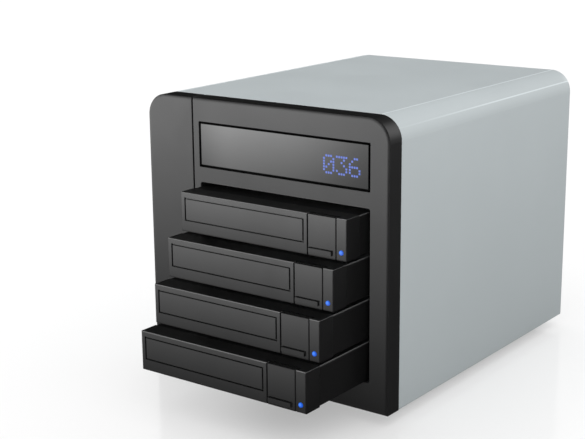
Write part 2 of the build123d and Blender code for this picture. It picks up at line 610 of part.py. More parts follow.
def tray_insert():
    face = 0.05
    insert = box(LABEL_X0 + LABEL_GAP, LABEL_X1 - LABEL_GAP, face, LABEL_D,
                 LABEL_Z0 + LABEL_GAP, LABEL_Z1 - LABEL_GAP)
    return fillet_where(insert, lambda e: on_y(e, face), 0.25)


def tray_led_lens():
    dome = Sphere(LED_R) & box(-3, 3, -0.75, 3, -3, 3)
    return cyl_y(LED_X, LED_Z, 0.2, 10.0, LED_R) + Pos(LED_X, 0.2, LED_Z) * dome


def tray_eject_flap():
    """Plate with a barrel behind its top, a pull lip in front and a hook arm behind."""
    flap = box(FLAP_X0, FLAP_X1, 0, 2.5, 0, PIVOT_Z)
    flap = flap + box(FLAP_X0, FLAP_X1, 0, PIVOT_Y, PIVOT_Z - 1, TRAY_H)
    flap += cyl_x(PIVOT_Y, PIVOT_Z, FLAP_X0, FLAP_X1, BARREL_R)
    flap = fillet_where(flap, lambda e: on_y(e, 0.0), 0.4)
    lip = box(FLAP_X0 + 1.4, FLAP_X1 - 2.4, -LIP_OUT, 0.5, 2.8, 6.1)
    flap += fillet_where(lip, lambda e: on_y(e, -LIP_OUT), 0.25)
    flap += box(121.0, 130.0, 2.2, 9.2, 9.5, 11.7) + box(121.0, 130.0, 7.6, 9.2, 11.5, 13.1)
    flap -= cyl_x(PIVOT_Y, PIVOT_Z, FLAP_X0 - 1, FLAP_X1 + 1, PIN_R + 0.05)
    return flap


def tray_hinge_pin():
    return cyl_x(PIVOT_Y, PIVOT_Z, PIN_X0, PIN_X1, PIN_R)


def tray_tub():
    tongue_z = (TUB_Z + 1.5, 26.6)
    tub = box(TUB_LEFT, TUB_RIGHT, FRONT_D, TRAY_LEN, TUB_Z, TUB_Z + 0.8)
    for x0, x1 in ((TUB_LEFT, TUB_LEFT + 1.2), (TUB_RIGHT - 1.2, TUB_RIGHT)):
        tub += box(x0, x1, FRONT_D, TRAY_LEN, TUB_Z, WALL_TOP)
    # joggled tongues that clip into the front
    for x0, x1 in ((TUB_LEFT, TUB_LEFT + 2.75), (TUB_RIGHT - 2.75, TUB_RIGHT)):
        tub += box(x0, x1, FRONT_D, FRONT_D + 1.2, *tongue_z)
    for x in (TUB_LEFT + 1.55, TUB_RIGHT - 2.75):
        tub += box(x, x + 1.2, 11.2, FRONT_D + 0.5, *tongue_z)
    # upright wall to the right of the drive
    tub += box(DRIVE_X1 + 1.2, DRIVE_X1 + 2.2, FRONT_D + 1, TRAY_LEN, TUB_Z + 0.6, WALL_TOP)
    for x, y in DRIVE_HOLES:
        tub -= cyl_z(x, y, -1, 3, 1.95)
    for i in range(6):                                    # floor slots
        y = 34 + i * 20
        tub -= box(DRIVE_MID - 22, DRIVE_MID + 22, y, y + 8, -1, 3)
    return tub


def tray_lid():
    lid = box(TUB_LEFT, TUB_RIGHT, FRONT_D + 0.1, TRAY_LEN, WALL_TOP, LID_Z)
    return fillet_where(lid, lambda e: (
        (on_x(e, TUB_LEFT) or on_x(e, TUB_RIGHT)) and abs(e.center().Z - LID_Z) < 1e-4), 0.6)


def tray_drive():
    """3.5 inch drive: casting with a cover step, recesses underneath and at the rear plug."""
    left, right, front, rear = DRIVE_X0, DRIVE_X1, DRIVE_Y0, DRIVE_Y1
    base = TUB_Z + 0.8
    top = base + DRIVE_H
    drive = fillet_along(box(left, right, front, rear, base, top - 1.2), Axis.Z, 2.5)
    cap = box(left + 1.2, right - 1.2, front + 1.2, rear - 8, top - 1.4, top)
    drive += fillet_along(cap, Axis.Z, 5.0)
    drive -= box(left + 7.5, right - 7.5, front + 8, rear - 14, base - 1, base + 15.0)
    drive -= box(left + 5.6, right - 5.6, front + 39.6, rear - 11.6, base - 1, base + 2.0)
    for x, y in DRIVE_HOLES:                              # screw bosses
        drive += cyl_z(x, y, base, base + 6, 3.1)
        drive -= cyl_z(x, y, base - 1, base + 4.6, 1.65)
    plug_x0, plug_x1 = SOCKET_X0 - TRAY_X0 - 1.0, SOCKET_X1 - TRAY_X0 + 1.0
    drive -= box(plug_x0, plug_x1, rear - 6.6, rear + 1, 3.5, 10.9)
    drive += box(plug_x0 + 2.2, plug_x1 - 2.2, rear - 7.0, rear - 1.0, 6.5, 7.7)
    return drive


def tray_drive_screws():
    return Compound([pan_screw(x, y, TUB_Z, HEAD_DOWN, 2.9, 0.5, 1.6, 4.2, cross=False)
                     for x, y in DRIVE_HOLES])


# ---------------------------------------------------------------- write the pieces
for make in (outer_cover, base_pan, rubber_feet, rear_panel, bezel_side_strip, front_bezel,
             display_window, display_module, drive_cage, guide_rails, backplane_board,
             backplane_sockets, main_board, cpu_heatsink, rear_ports, power_button,
             power_supply, power_inlet, power_rocker, fan_frame, fan_rotor, fan_guard,
             case_screws, fan_screws):
    save(make.__name__, make())

# The four trays are alike; number 1 is the top one
for make in (tray_front, tray_insert, tray_led_lens, tray_eject_flap, tray_hinge_pin,
             tray_tub, tray_lid, tray_drive, tray_drive_screws):
    piece = make()
    for number, (out, base) in enumerate(zip(TRAY_OUT, reversed(TRAY_BASES)), start=1):
        name = make.__name__.replace("tray_", f"tray_{number}_")
        save(name, Pos(TRAY_X0, -out, base) * piece)
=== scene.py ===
import json
import math

import bmesh
import bpy
from mathutils import Matrix, Vector


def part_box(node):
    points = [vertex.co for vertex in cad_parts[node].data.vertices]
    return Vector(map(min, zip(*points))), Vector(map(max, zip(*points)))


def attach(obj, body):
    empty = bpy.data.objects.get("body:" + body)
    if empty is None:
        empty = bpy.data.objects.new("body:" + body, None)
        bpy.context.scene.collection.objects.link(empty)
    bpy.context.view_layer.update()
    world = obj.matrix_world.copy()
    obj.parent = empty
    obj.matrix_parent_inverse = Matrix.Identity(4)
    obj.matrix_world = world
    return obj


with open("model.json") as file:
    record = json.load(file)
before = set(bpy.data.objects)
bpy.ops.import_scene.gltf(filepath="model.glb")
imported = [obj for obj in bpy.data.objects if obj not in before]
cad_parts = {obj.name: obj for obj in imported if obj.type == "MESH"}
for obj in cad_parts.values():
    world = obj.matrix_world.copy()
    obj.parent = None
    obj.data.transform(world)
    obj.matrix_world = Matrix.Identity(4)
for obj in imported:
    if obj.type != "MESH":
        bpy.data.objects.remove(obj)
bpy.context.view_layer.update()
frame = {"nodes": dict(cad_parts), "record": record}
NODES = frame["nodes"]
scene = bpy.context.scene

# ---------------------------------------------------------------- driving dimensions
PANE_LO, PANE_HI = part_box("display_window")
BEZEL_FACE_Y = PANE_LO.y - 0.00025   # the pane's front is 0.25 mm behind the bezel face

# tray 4 is the reference: the others repeat it at the pitch
TRAY_LO, TRAY_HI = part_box("tray_4_front")
NEXT_TRAY_LO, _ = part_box("tray_3_front")
TRAY_Z = TRAY_LO.z
TRAY_PITCH = NEXT_TRAY_LO.z - TRAY_Z
TRAY_MID_Z = TRAY_Z + (TRAY_HI.z - TRAY_Z) / 2
# painted highlight: the light grey of a tray's upper edge fades in over this height
TRAY_RIM_Z = (0.0278, 0.0284)        # where the rolled upper edge fades in, above a tray's foot

DIGIT_DOT_X = 0.0542                 # centre of the first digit's top left dot
DIGIT_DOT_Z = 0.1891
DOT_PITCH = 0.00198
DIGIT_STEP = 0.01075
DOT_SIZE = 0.00176
DOT_DEPTH = 0.00012
DOT_CORNER = 0.00045
DOT_CORNER_STEPS = 3
DOT_CHAMFER = 0.22                   # share of the dot's size lost at its front face
DOT_FRONT_Y = PANE_LO.y - 0.00006

SURROUND_RADIUS = 6.0
FLOOR_SIZE = 8.0


# ---------------------------------------------------------------- shader graphs
class Signal:
    """A node output that can be used in arithmetic; each operation adds one node."""

    def __init__(self, graph, socket):
        self.graph = graph
        self.socket = socket

    def __add__(self, other):
        return self.graph.math("ADD", self, other)

    def __radd__(self, other):
        return self.graph.math("ADD", other, self)

    def __sub__(self, other):
        return self.graph.math("SUBTRACT", self, other)

    def __rsub__(self, other):
        return self.graph.math("SUBTRACT", other, self)

    def __mul__(self, other):
        return self.graph.math("MULTIPLY", self, other)

    def __rmul__(self, other):
        return self.graph.math("MULTIPLY", other, self)

    def __pow__(self, other):
        return self.graph.math("POWER", self, other)

    def __abs__(self):
        return self.graph.math("ABSOLUTE", self)

    def linear(self, slope, offset):
        return self.graph.math("MULTIPLY_ADD", self, slope, offset)

    def ramp(self, span, to=(0.0, 1.0), smooth=True):
        """Map the range span onto the range to, held at both ends."""
        inputs = {"Value": self, "From Min": span[0], "From Max": span[1],
                  "To Min": to[0], "To Max": to[1]}
        kind = "SMOOTHSTEP" if smooth else "LINEAR"
        return self.graph.node("MapRange", inputs, "Result", interpolation_type=kind)

    def mix(self, start, end):
        """Colour that goes from start to end as this signal goes from 0 to 1."""
        return self.graph.node("Mix", {0: self, 6: start, 7: end}, 2, data_type="RGBA")

    def axis(self, which):
        return self.graph.node("SeparateXYZ", {0: self}, which)

    def sibling(self, name):
        """Another output of the same node."""
        return Signal(self.graph, self.socket.node.outputs[name])


class Graph:
    """The node tree of a material or world."""

    def __init__(self, owner, output="OutputMaterial"):
        owner.use_nodes = True
        self.owner = owner
        self.tree = owner.node_tree
        self.tree.nodes.clear()
        self.end = self.tree.nodes.new("ShaderNode" + output)

    def node(self, kind, inputs=None, output=0, **settings):
        """Add a node and return one of its outputs. Colours are given as three numbers."""
        node = self.tree.nodes.new("ShaderNode" + kind)
        for name, value in settings.items():
            setattr(node, name, value)
        for key, value in (inputs or {}).items():
            target = node.inputs[key]
            if isinstance(value, Signal):
                self.tree.links.new(value.socket, target)
            else:
                target.default_value = (*value, 1.0) if target.type == "RGBA" else value
        return Signal(self, node.outputs[output])

    def math(self, operation, *operands, clamp=False):
        inputs = dict(enumerate((*operands, 0.0, 0.0)[:3]))
        return self.node("Math", inputs, operation=operation, use_clamp=clamp)

    def coords(self):
        return self.node("TexCoord", output="Object")

    def axis(self, which):
        return self.coords().axis(which)

    def noise(self, scale, detail=2.0, rough=0.5, distortion=0.0, vector=None):
        inputs = {"Vector": vector or self.coords(), "Scale": scale, "Detail": detail,
                  "Roughness": rough, "Distortion": distortion}
        return self.node("TexNoise", inputs, "Fac")

    def voronoi(self, scale, output="Distance"):
        return self.node("TexVoronoi", {"Vector": self.coords(), "Scale": scale}, output)

    def bump(self, height, strength, distance, normal=None):
        inputs = {"Strength": strength, "Distance": distance, "Height": height}
        if normal is not None:
            inputs["Normal"] = normal
        return self.node("Bump", inputs, "Normal")

    def edge(self, radius):
        """0 on flats to 1 on edges, and the rounded normal it is measured from."""
        rounded = self.node("Bevel", {"Radius": radius}, samples=4)
        true = self.node("NewGeometry", output="Normal")
        match = self.node("VectorMath", {0: rounded, 1: true}, "Value", operation="DOT_PRODUCT")
        return (1.0 - match).ramp(span=(0.0, 0.12)), rounded

    def surface(self, shader):
        self.tree.links.new(shader.socket, self.end.inputs["Surface"])
        return self.owner

    def principled(self, **inputs):
        named = {key.replace("_", " "): value for key, value in inputs.items()}
        return self.surface(self.node("BsdfPrincipled", named))


def new_graph(name):
    return Graph(bpy.data.materials.new(name))


def scaled(colour, factor):
    return tuple(min(1.0, max(0.0, c * factor)) for c in colour)


def grey(level):
    return (level, level, level)


# ---------------------------------------------------------------- masks
def height_in_tray(z):
    """Height folded into the span of tray 4."""
    return z.graph.math("WRAP", z, TRAY_Z + TRAY_PITCH, TRAY_Z)


def top_rim(graph, rounded):
    """1 on the rolled upper edge of a tray, where a highlight is painted, 0 elsewhere."""
    lean = rounded.axis("Z")
    band = lean.ramp(span=(0.10, 0.45)) * lean.ramp(span=(0.88, 0.985), to=(1.0, 0.0))
    height = height_in_tray(graph.axis("Z"))
    return band * height.ramp(span=[TRAY_Z + z for z in TRAY_RIM_Z])


def inside_box(graph, lo, hi, soft=0.0002):
    """1 inside a box, 0 outside."""
    place = graph.coords()
    inside = 1.0
    for name, start, end in zip("XYZ", lo, hi):
        along = place.axis(name)
        rise = along.ramp(span=(start - soft, start))
        inside = inside * (rise * along.ramp(span=(end, end + soft), to=(1.0, 0.0)))
    return inside


def near_point(x, y, at, reach):
    """1 within the first reach of a point in a plane, 0 beyond the second."""
    across = x - at[0]
    along = y - at[1]
    distance = x.graph.math("SQRT", across * across + along * along)
    return distance.ramp(span=reach, to=(1.0, 0.0))


# ---------------------------------------------------------------- specular levels
def tray_sheen(graph, level):
    """Rises with height inside each tray front, a little higher on the lower trays."""
    z = graph.axis("Z")
    height = height_in_tray(z)
    gain = (height - TRAY_MID_Z).linear(slope=21.0, offset=1.0)
    gain *= (TRAY_MID_Z + 3 * TRAY_PITCH - z).linear(slope=1.6, offset=1.0)
    # painted shade: less reflection along each tray's bottom edge
    gain *= height.ramp(span=(TRAY_Z + 0.0002, TRAY_Z + 0.0014), to=(0.35, 1.0))
    return gain * level


def pane_sheen(graph, level):
    """Fades towards both ends of the window and downwards."""
    place = graph.coords()
    x, z = place.axis("X"), place.axis("Z")
    gain = (z - (PANE_LO.z + PANE_HI.z) / 2).linear(slope=15.5, offset=1.0)
    gain *= x.ramp(span=(PANE_LO.x - 0.018, PANE_LO.x + 0.030), to=(0.55, 1.0))
    gain *= x.ramp(span=(PANE_LO.x + 0.008, PANE_LO.x + 0.090), to=(0.98, 0.76))
    gain *= x.ramp(span=(PANE_HI.x - 0.075, PANE_HI.x + 0.012), to=(1.0, 0.42))
    return gain * level


def bend_sheen(graph, level):
    """Specular level raised up to 3.1 times where a surface turns from the top to the sides: a
    painted sheen on the bends.
    """
    normal = graph.node("NewGeometry", output="Normal")
    turn = abs(normal.axis("X")) * normal.axis("Z")
    return level * turn.ramp(span=(0.12, 0.45), to=(1.0, 3.1))


# ---------------------------------------------------------------- kinds of material
def plastic(name, colour, rough, grain=0.25, grain_scale=2600.0, spec=0.5, edge_wear_and_highlight=0.35,
            smudge=0.05, sheen=None, rim_highlight_grey=None, shade=None, pane_shade_box=None):
    """Moulded plastic: fine grain, uneven gloss, smudges and lighter edges, partly worn and
    partly a painted highlight.

    sheen varies the specular level as a painted sheen; the grey given for a tray's upper edge is
    a painted highlight; shade is the box of a recess that gets painted shade; and the box given
    for a pane marks where its outer band is darkened and loses its reflection, as painted shade
    for the gap around it."""
    graph = new_graph(name)
    patches = graph.noise(scale=22.0, detail=3.0, rough=0.6)
    fine = graph.noise(scale=grain_scale, rough=0.55)
    cells = graph.voronoi(scale=grain_scale * 0.6)
    edge, rounded = graph.edge(radius=0.0005)
    if shade:
        # inside a recess the light doesn't reach the edges
        dark = inside_box(graph, *shade)
        edge *= 1.0 - dark
    tone = patches.ramp(span=(0.3, 0.7)).mix(scaled(colour, 0.93), scaled(colour, 1.07))
    tone = fine.ramp(span=(0.35, 0.65), to=(0.0, 0.5)).mix(tone, scaled(colour, 1.12))
    # lighter edges: partly worn, partly a painted highlight where edges catch the light
    tone = (edge * edge_wear_and_highlight).mix(tone, scaled(colour, 2.2))
    smudges = graph.noise(scale=9.0, detail=5.0, rough=0.65, distortion=0.4)
    dust = smudges.ramp(span=(0.52, 0.75), to=(0.0, smudge))
    roughness = patches.ramp(span=(0.25, 0.75), to=(rough - 0.03, rough + 0.03)) + dust
    roughness = graph.math("SUBTRACT", roughness, edge * 0.08, clamp=True)
    height = fine * 0.6 + cells * 0.4
    if sheen:
        spec = sheen(graph, spec)
    # painted shade: the pane's outer band is darkened, standing in for shade in the gap around it
    if pane_shade_box:
        pane_edge_shade = 1.0 - inside_box(graph, *pane_shade_box, soft=0.0001)
        spec *= pane_edge_shade.linear(slope=-0.9, offset=1.0)
        tone = pane_edge_shade.mix(tone, scaled(colour, 0.4))
    # painted highlight: a light grey along a tray's rolled upper edge
    if rim_highlight_grey:
        upper = top_rim(graph, rounded)
        if shade:
            upper *= 1.0 - dark
        tone = upper.mix(tone, grey(rim_highlight_grey))
    if shade:
        spec *= dark.linear(slope=-0.95, offset=1.0)
        tone = dark.mix(tone, scaled(colour, 0.5))
    normal = graph.bump(height, strength=grain, distance=0.00004, normal=rounded)
    return graph.principled(Base_Color=tone, Roughness=roughness, Normal=normal,
                            Specular_IOR_Level=spec, Coat_Roughness=0.12)


def metal(name, colour, rough, brushed=None, grain_scale=900.0, bump=0.12, spangle=0.0):
    """Bare or plated metal, brushed along an axis or spangled like zinc sheet if asked."""
    graph = new_graph(name)
    if brushed:
        stretch = [0.02 if axis == brushed else 1.0 for axis in "XYZ"]
        drawn = graph.node("Mapping", {"Vector": graph.coords(), "Scale": stretch})
        streak = graph.noise(scale=grain_scale * 2, detail=3.0, rough=0.7, vector=drawn)
    else:
        streak = graph.noise(scale=grain_scale, detail=3.0, rough=0.6)
    patches = graph.noise(scale=30.0, detail=3.0, rough=0.6)
    edge, rounded = graph.edge(radius=0.0004)
    tone = streak.ramp(span=(0.3, 0.7)).mix(scaled(colour, 0.9), scaled(colour, 1.06))
    if spangle:
        red = graph.node("SeparateColor", {0: graph.voronoi(scale=190.0, output="Color")})
        tone = (red * spangle).mix(tone, scaled(colour, 1.25))
    # lighter edges: partly worn bright, partly a painted highlight
    tone = (edge * 0.4).mix(tone, scaled(colour, 1.35))
    roughness = graph.math("ADD", streak.ramp(span=(0.2, 0.8), to=(rough - 0.06, rough + 0.06)),
                           patches.ramp(span=(0.3, 0.7), to=(-0.03, 0.04)), clamp=True)
    normal = graph.bump(streak, strength=bump, distance=0.00005, normal=rounded)
    return graph.principled(Base_Color=tone, Roughness=roughness, Normal=normal, Metallic=1.0)


def paint_floor_shade_and_crease_highlights(graph, tone, colour, low, crease_highlights):
    """Painted shade: darken the paint towards the floor; painted highlights: lighter lines along
    the bends on both sides.
    """
    place = graph.coords()
    # painted shade: darker towards the floor
    floor_shade = place.axis("Z").ramp(span=(0.0, 0.21), to=(1.0, 0.0), smooth=False)
    tone = floor_shade.mix(tone, scaled(colour, low))
    # painted highlights: lighter lines along the bends
    for x, z, gain, front in crease_highlights:
        bend_highlight = near_point(abs(place.axis("X")), place.axis("Z"), at=(x, z),
                          reach=(0.00025, 0.00075))
        bend_highlight *= place.axis("Y").ramp(span=(-0.100, 0.080), to=(front, 1.0))
        tone = bend_highlight.mix(tone, scaled(colour, gain))
    return tone


def paint(name, colour, rough, low=None, crease_highlights=()):
    """Satin paint on sheet: flakes, orange peel and slightly lighter edges, which are partly a
    painted highlight.
    """
    graph = new_graph(name)
    flakes = graph.noise(scale=5200.0, detail=1.0)
    patches = graph.noise(scale=11.0, detail=3.0, rough=0.55)
    edge, rounded = graph.edge(radius=0.0006)
    tone = patches.ramp(span=(0.3, 0.7)).mix(scaled(colour, 0.985), scaled(colour, 1.015))
    tone = flakes.ramp(span=(0.55, 0.8), to=(0.0, 0.2)).mix(tone, scaled(colour, 1.2))
    # lighter edges, partly a painted highlight
    tone = (edge * 0.5).mix(tone, scaled(colour, 1.25))
    # painted shade towards the floor and painted highlight lines on the bends
    if crease_highlights:
        tone = paint_floor_shade_and_crease_highlights(graph, tone, colour, low, crease_highlights)
    peel = graph.noise(scale=420.0)
    roughness = graph.math("ADD", patches.ramp(span=(0.2, 0.8), to=(rough - 0.03, rough + 0.03)),
                           flakes.ramp(span=(0.3, 0.7), to=(-0.02, 0.02)), clamp=True)
    normal = graph.bump(peel, strength=0.10, distance=0.00006, normal=rounded)
    normal = graph.bump(flakes, strength=0.05, distance=0.00002, normal=normal)
    return graph.principled(Base_Color=tone, Roughness=roughness, Normal=normal)


def lit_plastic(graph, colour, emission):
    """A plastic that glows in the emission colour."""
    grain = graph.noise(scale=1500.0)
    return graph.principled(
        Base_Color=scaled(colour, 0.25), Roughness=grain.ramp(span=(0.3, 0.7), to=(0.2, 0.3)),
        Emission_Color=emission, Emission_Strength=1.0,
        Normal=graph.bump(grain, strength=0.1, distance=0.00003))


def led_plastic(name):
    """Blue lens, brightest near the middle of its front, a little up and to the left."""
    lo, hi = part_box(name)
    middle = (lo + hi) / 2
    core = (middle.x - 0.0004, lo.y, middle.z + 0.0004)
    colour = (0.006, 0.085, 0.55)
    graph = new_graph("led_" + name)
    distance = graph.node("VectorMath", {0: graph.coords(), 1: core}, "Value",
                          operation="DISTANCE")
    near = distance.ramp(span=(0.0, 0.0019), to=(1.0, 0.0))
    return lit_plastic(graph, colour, near.mix(colour, (0.050, 0.255, 1.0)))


def dot_plastic():
    colour = (0.078, 0.135, 0.52)
    graph = new_graph("display_dots_blue")
    uneven = graph.noise(scale=900.0).ramp(span=(0.3, 0.7))
    return lit_plastic(graph, colour, uneven.mix(scaled(colour, 0.9), colour))


def circuit_board():
    graph = new_graph("circuit_board_green")
    tracks = graph.node("TexBrick", {"Vector": graph.coords(), "Scale": 160.0,
                                     "Mortar Size": 0.03}, "Fac")
    weave = graph.noise(scale=700.0)
    tone = tracks.mix((0.010, 0.060, 0.028), (0.022, 0.115, 0.05))
    tone = weave.ramp(span=(0.3, 0.7), to=(0.0, 0.4)).mix(tone, (0.014, 0.085, 0.036))
    return graph.principled(
        Base_Color=tone, Roughness=weave.ramp(span=(0.3, 0.7), to=(0.32, 0.42)),
        Normal=graph.bump(tracks, strength=0.3, distance=0.00005))


# ---------------------------------------------------------------- materials by slot
# painted highlight lines along the cover's bends
COVER_CREASE_HIGHLIGHTS = (   # x on either side, z, brightness, strength at the front
    (0.0914, 0.2190, 1.50, 0.8),
    (0.10565, 0.21063, 1.34, 0.1),
)
# painted shade: the bezel is darkened this far round the pane, and the pane this far inside its
# edge, for the gap between them
WINDOW_RECESS_MARGIN = Vector((0.0012, 0.005, 0.0012))
PANE_EDGE_SHADE_INSET = Vector((0.00055, -0.005, 0.00055))
CHARCOAL = (0.0085, 0.0085, 0.0088)
TRAY_MOULDING = dict(colour=CHARCOAL, rough=0.36, grain=0.07, spec=0.63, edge_wear_and_highlight=0.5,
                     sheen=tray_sheen)

BY_SLOT = {
    # the cover gets painted shade towards the floor and painted highlight lines on its bends
    "cover_paint": paint("cover_satin_paint", (0.540, 0.589, 0.603), rough=0.36, low=0.82,
                         crease_highlights=COVER_CREASE_HIGHLIGHTS),
    "rear_paint": paint("rear_satin_paint", (0.34, 0.372, 0.383), rough=0.45),
    "bezel_plastic": plastic(
        "bezel_charcoal", (0.0132, 0.0132, 0.0135), rough=0.36, grain=0.06, edge_wear_and_highlight=0.15,
        sheen=bend_sheen, shade=(PANE_LO - WINDOW_RECESS_MARGIN, PANE_HI + WINDOW_RECESS_MARGIN)),
    "display_window": plastic(
        "smoked_window", (0.0090, 0.0092, 0.0096), rough=0.24, grain=0.015, spec=0.88, edge_wear_and_highlight=0.2,
        smudge=0.015, sheen=pane_sheen,
        pane_shade_box=(PANE_LO + PANE_EDGE_SHADE_INSET, PANE_HI - PANE_EDGE_SHADE_INSET)),
    "tray_plastic": plastic("tray_charcoal", **TRAY_MOULDING),
    "insert_plastic": plastic("insert_charcoal", CHARCOAL, rough=0.34, grain=0.05, spec=0.63,
                              sheen=tray_sheen),
}


def tray_front_plastic(number):
    """Tray moulding with a painted highlight on its upper edge and painted shade in the recess
    around the eject flap.
    """
    lo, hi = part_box(f"tray_{number}_front")
    flap_lo, flap_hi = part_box(f"tray_{number}_eject_flap")
    recess = ((flap_lo.x - 0.0012, lo.y + 0.0030, hi.z - 0.0030),
              (flap_hi.x + 0.0012, lo.y + 0.0050, hi.z + 0.001))
    return plastic(f"tray_{number}_charcoal", **TRAY_MOULDING, rim_highlight_grey=0.19, shade=recess)


TRAY_FRONTS = {f"tray_{n}_front": tray_front_plastic(n) for n in range(1, 5)}

# the tray's sheet also gets a painted highlight on its upper edge
BY_SLOT["tray_sheet"] = plastic("tray_black_paint", (0.0078, 0.0078, 0.0080), rough=0.46,
                                grain=0.15, grain_scale=1400, spec=0.45, rim_highlight_grey=0.13)
# near-black hinge pins: painted shade that keeps them from glinting
HINGE_PIN = metal("pin_painted_dark_shade", (0.035, 0.035, 0.037), rough=0.42, grain_scale=1500)
BY_SLOT.update({
    "zinc_sheet": metal("zinc_sheet", (0.55, 0.56, 0.57), rough=0.42, spangle=0.35),
    "black_plastic": plastic("black_moulding", grey(0.012), rough=0.45, grain=0.2),
    "button_plastic": plastic("button_gloss_black", grey(0.010), rough=0.2, grain=0.03),
    "foot_rubber": plastic("foot_rubber", grey(0.018), rough=0.78, grain=0.5, grain_scale=1800,
                           spec=0.25, edge_wear_and_highlight=0.5),
    "bright_wire": metal("plated_wire", (0.72, 0.72, 0.73), rough=0.22, grain_scale=600),
    "screw_steel": metal("plated_screw", grey(0.60), rough=0.30, grain_scale=1500),
    "drive_casting": metal("drive_casting", (0.42, 0.43, 0.44), rough=0.48, grain_scale=1200,
                           bump=0.25),
    "heatsink_aluminium": metal("heatsink_aluminium", (0.62, 0.62, 0.64), rough=0.35,
                                brushed="Z"),
    "port_shell": metal("port_shell", (0.62, 0.61, 0.58), rough=0.28, brushed="Y"),
    "circuit_board": circuit_board(),
})
BY_SLOT["display_module"] = BY_SLOT["button_plastic"]


# ---------------------------------------------------------------- dress the CAD pieces
def material_for(name, slot):
    if name in TRAY_FRONTS:
        return TRAY_FRONTS[name]
    if name.endswith("_hinge_pin"):
        return HINGE_PIN
    if slot == "blue_led":
        return led_plastic(name)
    return BY_SLOT[slot]


def dress(obj, *materials):
    obj.data.materials.clear()
    for material in materials:
        obj.data.materials.append(material)


SLOT_OF = {part["node"]: part["material_slot"] for part in frame["record"]["subparts"]}
for name, obj in NODES.items():
    dress(obj, material_for(name, SLOT_OF[name]))
    # the bezel and floor don't mirror the trays
    if name.startswith("tray_"):
        obj.visible_glossy = False


def islands(mesh):
    """Faces of each separate solid, joined where vertices share a position."""
    parent = list(range(len(mesh.vertices)))

    def find(index):
        while parent[index] != index:
            parent[index] = parent[parent[index]]
            index = parent[index]
        return index

    first_at = {}
    for vertex in mesh.vertices:
        place = tuple(round(c * 1e6) for c in vertex.co)
        parent[find(vertex.index)] = find(first_at.setdefault(place, vertex.index))
    for face in mesh.polygons:
        for index in face.vertices[1:]:
            parent[find(index)] = find(face.vertices[0])
    groups = {}
    for face in mesh.polygons:
        groups.setdefault(find(face.vertices[0]), []).append(face)
    return groups.values()


def board_part(size):
    """Material index of a solid on the main board, told by its size."""
    board_green, part_black, part_silver = range(3)
    if size.x < 0.0025 and size.y > 0.15:
        return board_green
    if abs(size.y - size.z) < 0.0005 and size.x > 0.0045 and size.y < 0.021:
        return part_silver
    if size.x > 0.02 and size.y < 0.002:
        return board_green
    return part_black


board = NODES["main_board"]
dress(board, *(BY_SLOT[slot] for slot in ("circuit_board", "black_plastic", "bright_wire")))
for faces in islands(board.data):
    points = [board.data.vertices[i].co for face in faces for i in face.vertices]
    size = Vector(map(max, zip(*points))) - Vector(map(min, zip(*points)))
    for face in faces:
        face.material_index = board_part(size)


# ---------------------------------------------------------------- display digits
def add_object(name, bm, material):
    mesh = bpy.data.meshes.new(name)
    bm.to_mesh(mesh)
    bm.free()
    obj = bpy.data.objects.new(name, mesh)
    scene.collection.objects.link(obj)
    mesh.materials.append(material)
    return obj


def rounded_dot(bm, centre_x, centre_z):
    """A small square tile with round corners and a chamfered front, facing -Y."""
    reach = DOT_SIZE / 2 - DOT_CORNER
    ring = []
    for side_x, side_z, start in ((1, 1, 0), (-1, 1, 90), (-1, -1, 180), (1, -1, 270)):
        for i in range(DOT_CORNER_STEPS + 1):
            angle = math.radians(start + 90 * i / DOT_CORNER_STEPS)
            ring.append((side_x * reach + DOT_CORNER * math.cos(angle),
                         side_z * reach + DOT_CORNER * math.sin(angle)))
    sections = (    # distance behind the front, scale
        (DOT_DEPTH, 1.0),
        (DOT_CHAMFER * DOT_SIZE * 0.35, 1.0),
        (0.0, 1.0 - DOT_CHAMFER),
    )
    layers = [[bm.verts.new((centre_x + x * scale, DOT_FRONT_Y + behind, centre_z + z * scale))
               for x, z in ring] for behind, scale in sections]
    for back, front in zip(layers, layers[1:]):
        for i in range(len(ring)):
            j = (i + 1) % len(ring)
            bm.faces.new((back[i], back[j], front[j], front[i]))
    bm.faces.new(layers[-1])
    bm.faces.new(list(reversed(layers[0])))


# rows from the top, columns from the left; 1 is a lit dot
DIGITS = {
    "0": ("01110", "10001", "10011", "10101", "11001", "10001", "01110"),
    "3": ("11111", "00010", "00100", "00010", "00001", "10001", "01110"),
    "6": ("00110", "01000", "10000", "11110", "10001", "10001", "01110"),
}


def display_dots():
    bm = bmesh.new()
    for place, digit in enumerate("036"):
        for row, bits in enumerate(DIGITS[digit]):
            for column, bit in enumerate(bits):
                if bit == "1":
                    rounded_dot(bm, DIGIT_DOT_X + place * DIGIT_STEP + column * DOT_PITCH,
                                DIGIT_DOT_Z - row * DOT_PITCH)
    bmesh.ops.recalc_face_normals(bm, faces=bm.faces)
    return bm


digits = add_object("display_digits", display_dots(), dot_plastic())
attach(digits, "chassis")


